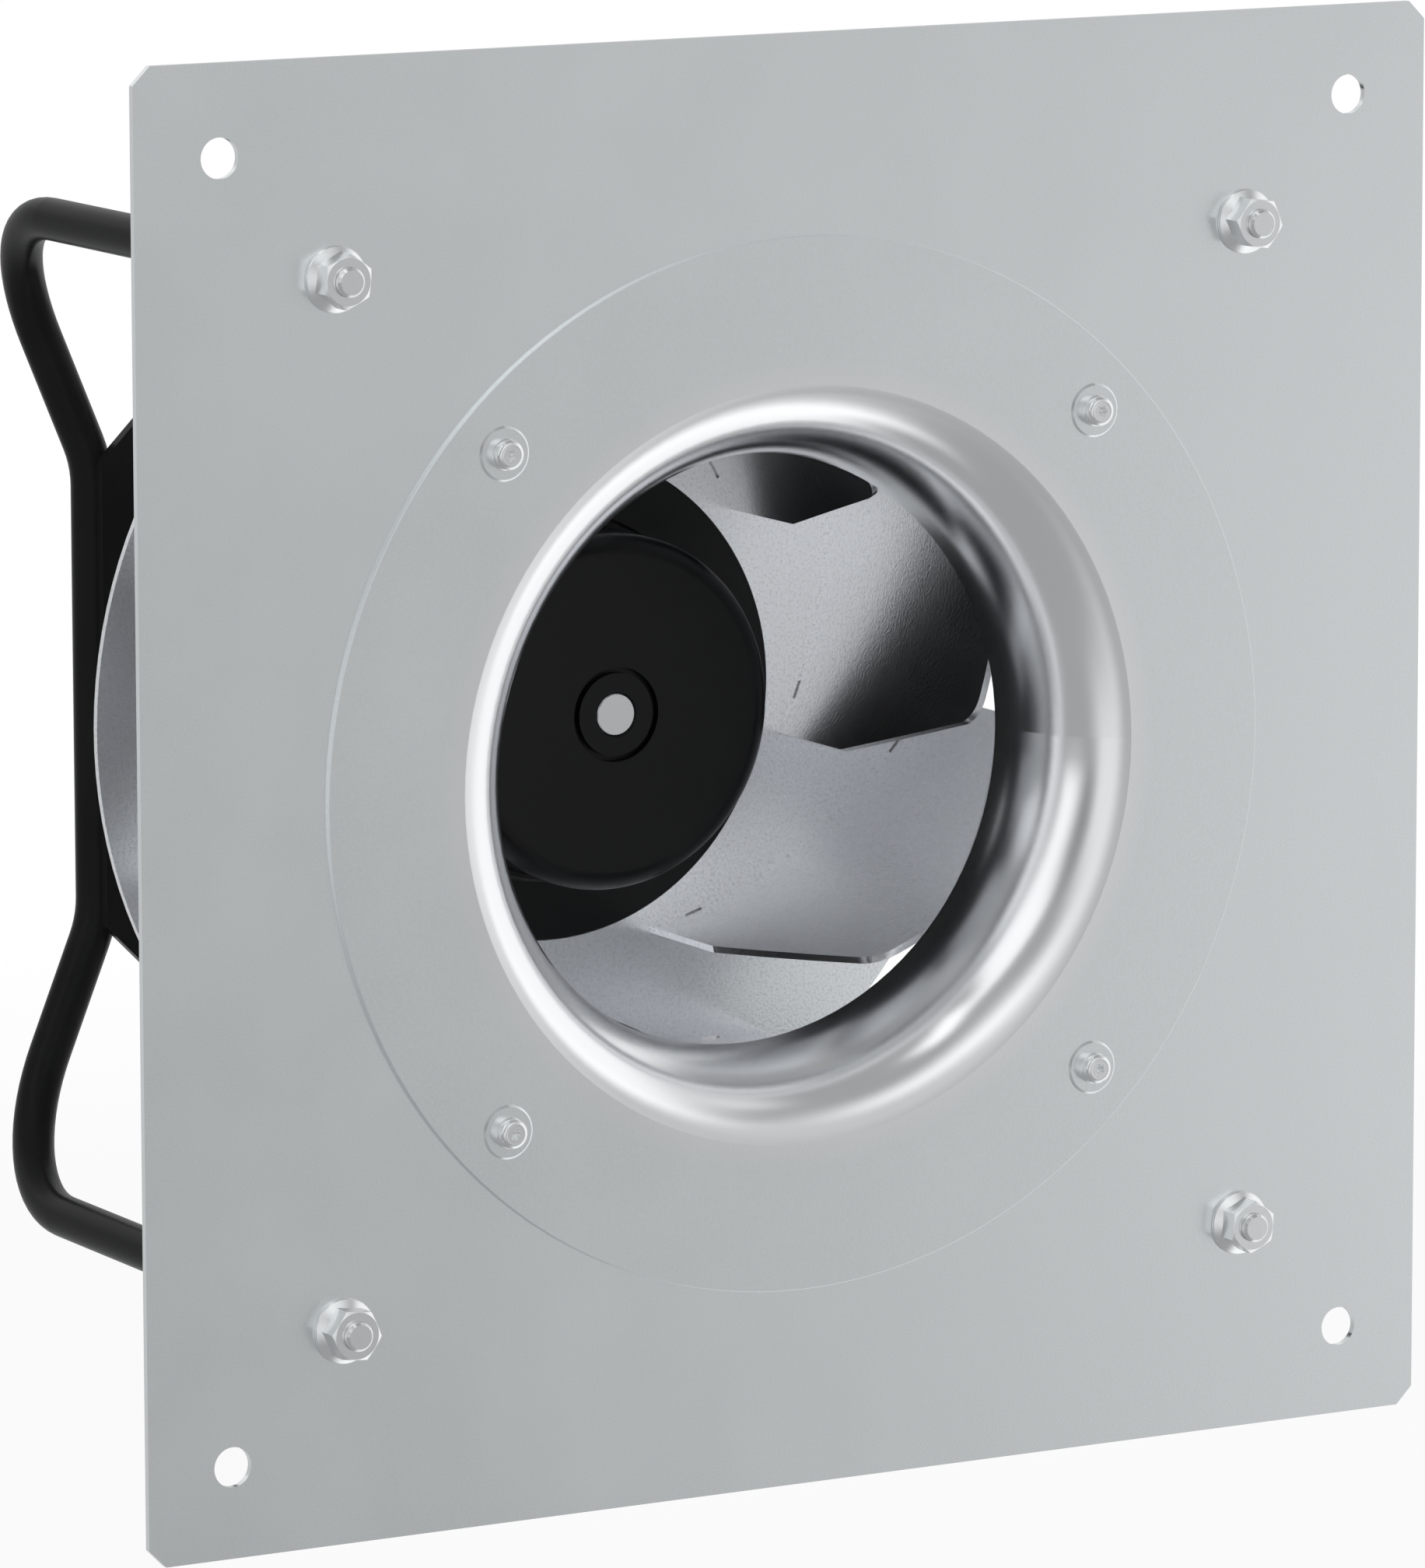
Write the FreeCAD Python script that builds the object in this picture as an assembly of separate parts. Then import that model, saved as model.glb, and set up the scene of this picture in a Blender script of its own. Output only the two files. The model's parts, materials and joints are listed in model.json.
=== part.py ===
import FreeCAD, Part
import math
import os

# Plug fan: square nozzle plate, backward-curved impeller and external-rotor motor.
# Millimetres. Origin on the fan axis at the front face of the nozzle plate.
# +Z up, +Y along the fan axis from the inlet into the fan, +X across.

V = FreeCAD.Vector
AXIS = V(0, 1, 0)
CENTRE = V(0, 0, 0)

# Nozzle plate
plate_side = 400.0
plate_thickness = 2.0
plate_corner = 5.0
wall_hole_inset = 25.0
wall_hole_spacing = plate_side - 2 * wall_hole_inset
wall_hole_r = 5.5
stud_inset = 58.58
stud_offset = plate_side / 2 - stud_inset
stud_clearance = 0.5
screw_clearance = 0.2

# Inlet nozzle, spun from one sheet
nozzle_sheet = 1.3
nozzle_flange_r = 145.1
nozzle_edge_round = 0.15
nozzle_mouth_r = 104.5
plate_opening_gap = 1.5
plate_opening_r = nozzle_mouth_r + plate_opening_gap
nozzle_throat_r = 82.4
nozzle_end_y = 35.3
nozzle_screw_inset = 15.0
nozzle_screw_offset = (nozzle_flange_r - nozzle_screw_inset) / math.sqrt(2)
nozzle_pad_r = 7.5
nozzle_pad_height = 0.5
nozzle_pad_slope = 0.6

# Hexagons with a flange, common to nuts and bolts
hex_corner_slope = 0.4
hex_face_inset = 0.1
flange_edge = 0.2
flange_cone_inset = 0.4

# Nozzle screws and nuts, M4
m4_r = 2.0
m4_head_r = 4.0
m4_head_height = 3.0
m4_crown_height = 0.8
m4_crown_r = 2.5
m4_collar_r = 4.3
m4_collar_height = 0.9
m4_collar_neck = 0.2
m4_lobe_circle_r = 1.15
m4_lobe_r = 0.45
m4_socket_depth = 1.7
m4_nut_flange_r = 4.6
m4_nut_rim = 0.8
m4_nut_cone_top = 1.6
m4_nut_height = 4.2
m4_nut_hex = 7.0
m4_screw_end = 7.5
m4_screw_turns = (17.0, 48.0, 79.0, 110.0)

# Flange nuts and stud ends, M8
m8_r = 4.0
m8_chamfer = 0.7
m8_tip_r = m8_r - m8_chamfer
m8_stud_out = 10.0
m8_nut_hex = 13.0
m8_nut_height = 8.0
m8_flange_r = 8.95
m8_flange_rim = 1.0
m8_cone_top = 2.4
m8_nut_turns = (54.0, 24.5, 24.5, 52.0)
thread_gap = 0.05

# Socket-head screws, M4, of the bearing tube and the cover
m4_cap_r = 3.5
m4_cap_height = 3.0
m4_cap_key = 3.0
m4_thread_reach = 5.0
m4_end_gap = 0.5

# Bent rods of the bracket
rod_r = 6.0
rod_elbow_bend = 44.0
rod_run_inset = 33.12
rod_run_x = stud_offset - rod_run_inset
rod_knee_z = 65.9
rod_knee_bend = 31.0

# Motor plate, welded to the front of both rods
motor_plate_front = 208.0
motor_plate_thickness = 3.5
motor_plate_rear = motor_plate_front + motor_plate_thickness
motor_plate_overhang = 1.4
motor_plate_half_x = rod_run_x + motor_plate_overhang
motor_plate_half_z = 92.0
motor_plate_corner = 25.0
rod_plate_gap = 0.15
rod_run_y = motor_plate_rear + rod_r + rod_plate_gap
rod_elbow_drop = 3.85
rod_elbow_y = rod_run_y - rod_elbow_drop
weld_r = 3.2
weld_lift = 1.0
weld_start = 12.0
weld_length = 42.0

# Outside of the stator housing, which seats on the motor plate
housing_r = 80.0
housing_depth = 55.0
housing_front = motor_plate_front - housing_depth
motor_bolt_inset = 10.0
motor_bolt_circle_r = housing_r - motor_bolt_inset

# Motor bolts, M6 with flange heads
m6_r = 3.0
m6_clearance = 0.3
m6_length = 16.0
m6_head_hex = 10.0
m6_head_height = 6.0
m6_flange_r = 7.0
m6_flange_rim = 0.9
m6_cone_top = 2.0

# Impeller
blade_count = 7
disc_r = 142.2
disc_gap = 5.2
disc_thickness = 2.0
disc_rear = housing_front - disc_gap
disc_front = disc_rear - disc_thickness
disc_bore_gap = 0.25
blade_sheet = 2.0
blade_arc_r = 147.34
blade_start_x = 76.31
blade_start_z = -16.93
blade_start_angle = -26.8
blade_length = 112.7
blade_front_y = 49.0
blade_kink_y = 111.0
blade_slope_length = 18.1
blade_corner_round = 8.5
blade_cut_reach = 12.0
blade_arc_x = blade_start_x - blade_arc_r * math.cos(math.radians(blade_start_angle))
blade_arc_z = blade_start_z - blade_arc_r * math.sin(math.radians(blade_start_angle))
tab_spans = [(10.9, 16.2), (92.0, 97.3)]
tab_out = 1.5
tab_gap_inner = 0.45
tab_gap_outer = 0.1
tab_gap_end = 0.15
shroud_tab_spans = [(42.0, 48.0), (88.0, 94.0)]
shroud_sheet = 2.0
shroud_gap = 2.7
shroud_neck_r = nozzle_throat_r + nozzle_sheet + shroud_gap
shroud_overlap = 4.3
shroud_lip_y = nozzle_end_y - shroud_overlap
shroud_neck_length = 5.0
shroud_neck_end_y = shroud_lip_y + shroud_neck_length
shroud_bend_r = 22.0
shroud_bend_angle = 70.0
shroud_trim = 60.0
clip_width = 8.0
clip_depth = 9.0
clip_wall = 0.8
clip_angles = (75.0, 205.0)

# Rotor
shaft_r = 6.0
rotor_length = 42.8
rotor_front_y = disc_rear - rotor_length
rotor_r = 50.75
disc_bore_r = rotor_r + disc_bore_gap
rotor_wall = 3.0
rotor_face = 4.5
rotor_face_inset = 5.75
rotor_face_r = rotor_r - rotor_face_inset
rotor_shoulder = 6.5
groove_outer_r = 13.5
groove_inner_r = 11.8
groove_depth = 2.5
shaft_seat_chamfer = 0.6
rotor_boss_wall = 2.2
rotor_boss_r = shaft_r + rotor_boss_wall
rotor_boss_length = 6.0
rotor_inner_slope = 2.0
hub_ring_r = 70.35
hub_ring_thickness = 2.8
hub_ring_front = disc_front - hub_ring_thickness
hub_collar_wall = 1.85
hub_collar_r = rotor_r + hub_collar_wall
hub_collar_length = 4.0
hub_collar_edge = 0.5
hub_root = 0.8
hub_edge = 0.3
hub_screw_count = 6
hub_screw_inset = 9.35
hub_screw_circle_r = hub_ring_r - hub_screw_inset
hub_screw_depth = 2.0
hub_screw_head_r = 3.6
hub_screw_head = 2.2
hub_screw_edge = 0.4
hub_screw_key = 2.5
hub_screw_socket = 1.3
magnet_count = 10
magnet_thickness = 4.5
magnet_front_gap = 1.5
magnet_rear_gap = 3.8
magnet_front = rotor_front_y + rotor_face + rotor_inner_slope + magnet_front_gap
magnet_rear = disc_rear - magnet_rear_gap
magnet_span = 34.0

# Bearings, 12 x 28 x 8
bearing_r = 14.0
bearing_width = 8.0
bearing_spread = 47.0
bearing_front_y = rotor_front_y + rotor_boss_length
bearing_rear_y = bearing_front_y + bearing_spread
ball_count = 8
ball_r = 2.35
race_r = 2.5
pitch_r = (shaft_r + bearing_r) / 2
cage_half_width = 2.9
cage_half_depth = 0.9
inner_land_gap = 0.5
outer_land_gap = 0.6
inner_land_r = pitch_r - cage_half_depth - inner_land_gap
outer_land_r = pitch_r + cage_half_depth + outer_land_gap
shaft_clip_play = 0.2
shaft_clip_y = bearing_rear_y + bearing_width + shaft_clip_play
shaft_clip_thickness = 1.0
shaft_tail = 2.8
shaft_end_y = shaft_clip_y + shaft_clip_thickness + shaft_tail
shaft_groove_depth = 0.6
shaft_groove_r = shaft_r - shaft_groove_depth
shaft_clip_width = 2.0
shaft_clip_r = shaft_r + shaft_clip_width
shaft_clip_gap = 6.4
shaft_front_edge = 0.3
shaft_rear_edge = 0.6
preload_height = 1.6
preload_wall = 0.5
preload_width = 2.3
preload_clearance = 0.3
preload_play = 0.1
inner_clip_y = bearing_rear_y + bearing_width + preload_height + preload_wall + preload_play
inner_clip_thickness = 1.2
inner_clip_groove_depth = 0.8
inner_clip_groove_r = bearing_r + inner_clip_groove_depth
inner_clip_width = 2.0
inner_clip_r = bearing_r - inner_clip_width
inner_clip_gap = 6.0

# Stator
tube_wall = 3.0
tube_r = bearing_r + tube_wall
tube_front_lip = 0.5
tube_front_y = bearing_front_y - tube_front_lip
tube_land_height = 2.0
tube_land_r = bearing_r - tube_land_height
tube_tail = 3.6
tube_rear_y = inner_clip_y + inner_clip_thickness + tube_tail
tube_flange_width = 11.0
tube_flange_r = tube_r + tube_flange_width
tube_flange_thickness = 4.0
tube_screw_inset = 5.0
tube_screw_circle_r = tube_flange_r - tube_screw_inset
tube_screw_count = 3
stack_front_inset = 3.0
stack_rear_inset = 2.0
stack_front = magnet_front + stack_front_inset
stack_rear = magnet_rear - stack_rear_inset
air_gap = 0.75
stack_r = rotor_r - rotor_wall - magnet_thickness - air_gap
slot_count = 12
yoke_width = 6.0
yoke_r = tube_r + yoke_width
shoe_height = 4.0
shoe_r = stack_r - shoe_height
tooth_width = 6.5
slot_opening = 2.4
insulator_thickness = 1.2
insulator_lip = 1.3
insulator_lip_height = 2.4
insulator_tube_gap = 0.5
insulator_rim_inset = 0.3
coil_gap = 0.15
coil_side = 2.5
coil_inner_gap = 0.3
coil_outer_gap = 0.5
coil_inner_r = yoke_r + insulator_lip + coil_inner_gap
coil_outer_r = shoe_r - coil_outer_gap
coil_round = 2.2

# Inside and fins of the stator housing
housing_floor = 6.0
housing_wall = 3.5
housing_rim = 6.0
housing_rim_width = 26.0
housing_opening_r = housing_r - housing_rim_width
housing_edge_round = 2.5
fin_count = 32
fin_height = 5.0
fin_root = 1.0
fin_thickness = 2.0
fin_inset = 5.0
fin_front = housing_front + fin_inset
fin_rear = motor_plate_front - fin_inset
boss_r = 6.6
lead_hole_r = 3.0
lead_hole_circle_r = 33.0
post_r = 4.0
post_count = 3
post_turn = 30.0

# Circuit board
board_depth = 22.0
board_front = motor_plate_front - board_depth
board_thickness = 1.6
board_r = 51.0
post_inset = 6.0
post_circle_r = board_r - post_inset
board_screw_r = 1.5
board_screw_head_r = 2.8
board_screw_head = 2.0
board_screw_key = 2.0
board_screw_reach = 7.0
board_screw_end_gap = 1.0
board_screw_clearance = 0.2

# Components on the board
capacitor_r = 8.0
capacitor_length = 26.0
capacitor_count = 3
capacitor_pitch = 22.0
capacitor_z = 24.0
capacitor_round = 1.0
choke_r = 9.0
choke_wire_r = 4.0
choke_x = -26.0
choke_z = -8.0
terminal_half_x = 20.0
terminal_height = 12.0
terminal_z = -40.0
terminal_depth = 12.0
terminal_count = 5
terminal_pitch = 7.5
terminal_way_r = 2.0
terminal_way_depth = 4.0
module_x = 8.0
module_z = -16.0
module_width = 26.0
module_depth = 20.0
module_height = 5.0
chip_count = 4
chip_pitch = 4.0
chip_x = -8.0
chip_z = -14.0
chip_width = 2.5
chip_depth = 5.0
chip_height = 1.5

# Socket-head screws
socket_edge = 0.3
socket_depth_share = 0.55

# Electronics cover
gasket_thickness = 1.0
cover_flange_width = 7.0
cover_flange_r = housing_opening_r + cover_flange_width
cover_flange_thickness = 4.0
cover_dome_inset = 2.0
cover_dome_r = housing_opening_r - cover_dome_inset
cover_wall = 2.5
cover_depth = 32.0
cover_rear = motor_plate_front + cover_depth
cover_round = 4.0
cover_screw_circle_r = (cover_flange_r + housing_opening_r) / 2
cover_clearance = 1.0
motor_plate_opening_r = cover_flange_r + cover_clearance
cover_front = motor_plate_front + gasket_thickness
cover_face = cover_front + cover_flange_thickness
gland_inset = 13.0
gland_y = cover_rear - gland_inset
gland_x = 16.0
gland_block_out = 6.0
gland_face_z = -cover_dome_r - gland_block_out
gland_block_side = 14.0
gland_block_half_x = gland_x + gland_block_side
gland_block_half_y = 12.0
gland_block_depth = 28.0
gland_block_inner_z = gland_face_z + gland_block_depth
gland_thread_r = 8.0
gland_hex = 20.0
gland_hex_height = 5.0
gland_thread_length = 9.0
gland_nut_height = 14.0
gland_neck_length = 9.0
gland_nut_wall = 3.0
gland_crown_start = 7.7
gland_crown_r = 7.0
gland_bore_r = 4.5
gland_body_gap = 1.0
gland_body_wall = 1.0
gland_seal_r = gland_thread_r - gland_body_wall
gland_seal_seat = 1.0
gland_seal_gap = 0.2


def cyl(radius, y0, y1, x=0.0, z=0.0):
    return Part.makeCylinder(radius, y1 - y0, V(x, y0, z), AXIS)


def ring(outer, inner, y0, y1, x=0.0, z=0.0):
    return cyl(outer, y0, y1, x, z).cut(cyl(inner, y0 - 1, y1 + 1, x, z))


def cone(r0, r1, y0, y1, x=0.0, z=0.0):
    return Part.makeCone(r0, r1, y1 - y0, V(x, y0, z), AXIS)


def box(x0, x1, y0, y1, z0, z1):
    return Part.makeBox(x1 - x0, y1 - y0, z1 - z0, V(x0, y0, z0))


def around(shape, angle):
    turned = shape.copy()
    turned.rotate(CENTRE, AXIS, angle)
    return turned


def spread(shape, count, start=0.0):
    return [around(shape, start + k * 360.0 / count) for k in range(count)]


def join(shapes):
    return shapes[0].multiFuse(shapes[1:]).removeSplitter()


def outline(points, depth, direction=AXIS):
    face = Part.Face(Part.makePolygon(points + [points[0]]))
    return face.extrude(direction * depth)


def revolve(edges):
    face = Part.Face(Part.Wire(edges))
    return face.revolve(CENTRE, AXIS, 360)


def turned_profile(points):
    corners = [V(r, y, 0) for r, y in points]
    return revolve(Part.makePolygon(corners + [corners[0]]).Edges)


def hexagon(across, y0, y1, turn=0.0):
    reach = across / math.sqrt(3)
    angles = [math.radians(60 * k + turn) for k in range(6)]
    corners = [V(reach * math.cos(a), y0, reach * math.sin(a)) for a in angles]
    return outline(corners, y1 - y0)


def square_spots(offset):
    return [(sx * offset, sz * offset) for sx in (-1, 1) for sz in (-1, 1)]


def circle_spots(radius, count, start):
    angles = [math.radians(start + k * 360.0 / count) for k in range(count)]
    return [(radius * math.cos(a), radius * math.sin(a)) for a in angles]


def at(shape, x, z, y=0.0):
    moved = shape.copy()
    moved.translate(V(x, y, z))
    return moved


def save(name, shapes):
    solids = shapes if isinstance(shapes, list) else [shapes]
    shape = solids[0] if len(solids) == 1 else Part.makeCompound(solids)
    shape.exportStep("parts/" + name + ".step")


# Sheet plate with its round opening and hole patterns
def make_nozzle_plate():
    h = plate_side / 2
    c = h - plate_corner
    points = [(h, c), (c, h), (-c, h), (-h, c), (-h, -c), (-c, -h), (c, -h), (h, -c)]
    plate = outline([V(x, 0, z) for x, z in points], plate_thickness)
    holes = [cyl(plate_opening_r, -1, plate_thickness + 1)]
    for x, z in square_spots(wall_hole_spacing / 2):
        holes.append(cyl(wall_hole_r, -1, plate_thickness + 1, x, z))
    for x, z in square_spots(stud_offset):
        holes.append(cyl(m8_r + stud_clearance, -1, plate_thickness + 1, x, z))
    for x, z in square_spots(nozzle_screw_offset):
        holes.append(cyl(m4_r + screw_clearance, -1, plate_thickness + 1, x, z))
    return plate.cut(holes)


# Quarter of an ellipse from the throat end to the mouth, in the XY plane
def throat_curve(gap):
    across = nozzle_mouth_r - nozzle_throat_r - gap
    along = nozzle_end_y + nozzle_sheet - gap
    middle = V(nozzle_mouth_r, nozzle_end_y, 0)
    ellipse = Part.Ellipse(middle + V(0, -along, 0), middle + V(-across, 0, 0), middle)
    return Part.ArcOfEllipse(ellipse, 0, math.pi / 2).toShape()


# Bellmouth with a flat flange in front of the plate
def make_inlet_nozzle():
    face_y = -nozzle_sheet
    inner = throat_curve(0.0)
    outer = throat_curve(nozzle_sheet)
    inner_end = V(nozzle_throat_r, nozzle_end_y, 0)
    outer_end = V(nozzle_throat_r + nozzle_sheet, nozzle_end_y, 0)
    edge = nozzle_flange_r - nozzle_edge_round
    turn = nozzle_edge_round * (1 - math.sqrt(0.5))
    front_corner = V(edge, face_y, 0)
    rim_corner = V(nozzle_flange_r, face_y + nozzle_edge_round, 0)
    rim_middle = V(nozzle_flange_r - turn, face_y + turn, 0)
    rear_corner = V(nozzle_flange_r, 0, 0)
    edges = [inner, outer,
             Part.makeLine(inner_end, outer_end),
             Part.makeLine(V(nozzle_mouth_r, face_y, 0), front_corner),
             Part.Arc(front_corner, rim_middle, rim_corner).toShape(),
             Part.makeLine(rim_corner, rear_corner),
             Part.makeLine(rear_corner, V(nozzle_mouth_r, 0, 0))]
    bell = revolve(Part.__sortEdges__(edges))
    pad = cone(nozzle_pad_r - nozzle_pad_slope, nozzle_pad_r, face_y - nozzle_pad_height, face_y)
    spots = square_spots(nozzle_screw_offset)
    bell = bell.multiFuse([at(pad, x, z) for x, z in spots])
    hole = cyl(m4_r + screw_clearance, face_y - nozzle_pad_height - 1, 1)
    return bell.cut([at(hole, x, z) for x, z in spots])


# Pan-head screw with a six-lobe socket, head towards -Y on y = 0
def pan_screw(length):
    top = m4_collar_height + m4_head_height
    shoulder = V(m4_head_r, m4_crown_height - top, 0)
    crown_edge = V(m4_crown_r, -top, 0)
    bulge = math.sqrt(0.5)
    across = m4_head_r - m4_crown_r
    crown_middle = V(m4_crown_r + across * bulge, m4_crown_height * (1 - bulge) - top, 0)
    side = [V(0, 0, 0), V(m4_collar_r, 0, 0), V(m4_collar_r, -m4_collar_height, 0),
            V(m4_head_r, -m4_collar_height - m4_collar_neck, 0), shoulder]
    edges = Part.makePolygon(side).Edges
    edges.append(Part.Arc(shoulder, crown_middle, crown_edge).toShape())
    edges.append(Part.makeLine(crown_edge, V(0, -top, 0)))
    edges.append(Part.makeLine(V(0, -top, 0), side[0]))
    head = revolve(edges)
    shank = cyl(m4_r, 0, length)
    floor_y = m4_socket_depth - top
    lobes = [cyl(m4_lobe_circle_r, -top - 1, floor_y)]
    for x, z in circle_spots(m4_lobe_circle_r, 6, 0):
        lobes.append(cyl(m4_lobe_r, -top - 1, floor_y, x, z))
    return head.fuse(shank).removeSplitter().cut(lobes)


# Hexagon with a coned flange, resting on y = 0 and rising towards -Y
def flange_hexagon(across, height, flange, rim, cone_top, turn=0.0):
    corner = across / math.sqrt(3) + hex_face_inset
    drop = (corner - across / 2) * hex_corner_slope
    body = hexagon(across, -height, -rim, turn)
    trim = turned_profile([(0, 0), (corner, 0), (corner, drop - height),
                           (across / 2 - hex_face_inset, -height), (0, -height)])
    skirt = turned_profile([(0, 0), (flange - flange_edge, 0), (flange, -flange_edge),
                            (flange, flange_edge - rim), (flange - flange_edge, -rim),
                            (across / 2 - flange_cone_inset, -cone_top), (0, -cone_top)])
    return body.common(trim).fuse(skirt)


def flange_nut(bore, across, height, flange, rim, cone_top, turn=0.0):
    nut = flange_hexagon(across, height, flange, rim, cone_top, turn)
    return nut.cut(cyl(bore, -height - 1, 1)).removeSplitter()


# Centre line of one rod: arm, elbow, leg, knee, straight run and the same again
def rod_path(side):
    corners = [V(side * stud_offset, plate_thickness, stud_offset),
               V(side * stud_offset, rod_elbow_y, stud_offset),
               V(side * rod_run_x, rod_run_y, rod_knee_z),
               V(side * rod_run_x, rod_run_y, -rod_knee_z),
               V(side * stud_offset, rod_elbow_y, -stud_offset),
               V(side * stud_offset, plate_thickness, -stud_offset)]
    bends = [rod_elbow_bend, rod_knee_bend, rod_knee_bend, rod_elbow_bend]
    edges = []
    last = corners[0]
    for k, bend in enumerate(bends):
        before, corner, after = corners[k], corners[k + 1], corners[k + 2]
        back = (before - corner).normalize()
        ahead = (after - corner).normalize()
        half = back.getAngle(ahead) / 2
        start = corner + back * (bend / math.tan(half))
        end = corner + ahead * (bend / math.tan(half))
        inward = (back + ahead).normalize()
        middle = corner + inward * (bend / math.sin(half) - bend)
        edges.append(Part.makeLine(last, start))
        edges.append(Part.Arc(start, middle, end).toShape())
        last = end
    edges.append(Part.makeLine(last, corners[-1]))
    return Part.Wire(edges)


def make_rod(side):
    x = side * stud_offset
    circle = Part.makeCircle(rod_r, V(x, plate_thickness, stud_offset), AXIS)
    rod = rod_path(side).makePipeShell([Part.Wire(circle)], True, True)
    studs = []
    for z in (stud_offset, -stud_offset):
        studs.append(cyl(m8_r, m8_chamfer - m8_stud_out, plate_thickness, x, z))
        studs.append(cone(m8_tip_r, m8_r, -m8_stud_out, m8_chamfer - m8_stud_out, x, z))
    return rod.multiFuse(studs).removeSplitter()


def make_motor_plate():
    hx, hz, c = motor_plate_half_x, motor_plate_half_z, motor_plate_corner
    points = [(hx, hz - c), (hx - c, hz), (c - hx, hz), (-hx, hz - c),
              (-hx, c - hz), (c - hx, -hz), (hx - c, -hz), (hx, c - hz)]
    plate = outline([V(x, motor_plate_front, z) for x, z in points], motor_plate_thickness)
    cuts = [cyl(motor_plate_opening_r, motor_plate_front - 1, motor_plate_rear + 1)]
    for x, z in circle_spots(motor_bolt_circle_r, 4, 45):
        cuts.append(cyl(m6_r + m6_clearance, motor_plate_front - 1, motor_plate_rear + 1, x, z))
    return plate.cut(cuts)


# Beads in the corner between each rod and the rear face of the motor plate
def make_welds(rods):
    beads = []
    keep = box(-motor_plate_half_x, motor_plate_half_x, motor_plate_rear,
               motor_plate_rear + 2 * rod_r, -motor_plate_half_z, motor_plate_half_z)
    for side, rod in zip((-1, 1), rods):
        for z in (weld_start, -weld_start - weld_length):
            start = V(side * (rod_run_x - rod_r), motor_plate_rear + weld_lift, z)
            bead = Part.makeCylinder(weld_r, weld_length, start, V(0, 0, 1))
            beads.append(bead.common(keep).cut(rod))
    return beads


# Flange bolt, head towards +Y on y = 0, shank towards -Y
def flange_bolt():
    head = flange_hexagon(m6_head_hex, m6_head_height, m6_flange_r, m6_flange_rim, m6_cone_top)
    head.rotate(CENTRE, V(1, 0, 0), 180)
    return head.fuse(cyl(m6_r, -m6_length, 0)).removeSplitter()


# Part of a curved sheet that follows the blade's arc between two lengths
def arc_band(s0, s1, y0, y1, inner, outer):
    a0 = math.radians(blade_start_angle) + s0 / blade_arc_r
    a1 = math.radians(blade_start_angle) + s1 / blade_arc_r

    def spot(radius, angle):
        x = blade_arc_x + radius * math.cos(angle)
        return V(x, y0, blade_arc_z + radius * math.sin(angle))

    mid = (a0 + a1) / 2
    edges = [Part.Arc(spot(inner, a0), spot(inner, mid), spot(inner, a1)).toShape(),
             Part.makeLine(spot(inner, a1), spot(outer, a1)),
             Part.Arc(spot(outer, a1), spot(outer, mid), spot(outer, a0)).toShape(),
             Part.makeLine(spot(outer, a0), spot(inner, a0))]
    return Part.Face(Part.Wire(edges)).extrude(V(0, y1 - y0, 0))


# Profile of the front disc: neck, bend and straight cone, thickened towards the plate
def shroud_solid(thickness):
    middle = V(shroud_neck_r + shroud_bend_r, shroud_neck_end_y, 0)
    slope = math.radians(90 - shroud_bend_angle)

    def side(offset):
        radius = shroud_bend_r - offset
        turn = math.radians(shroud_bend_angle)
        a = middle + V(-radius, 0, 0)
        b = middle + V(-radius * math.cos(turn / 2), radius * math.sin(turn / 2), 0)
        c = middle + V(-radius * math.cos(turn), radius * math.sin(turn), 0)
        d = V(disc_r, c.y + (disc_r - c.x) * math.tan(slope), 0)
        return V(a.x, shroud_lip_y, 0), a, b, c, d

    i, o = side(0.0), side(thickness)
    edges = [Part.makeLine(i[0], i[1]),
             Part.Arc(i[1], i[2], i[3]).toShape(),
             Part.makeLine(i[3], i[4]),
             Part.makeLine(i[4], o[4]),
             Part.makeLine(o[4], o[3]),
             Part.Arc(o[3], o[2], o[1]).toShape(),
             Part.makeLine(o[1], o[0]),
             Part.makeLine(o[0], i[0])]
    return revolve(edges)


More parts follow.
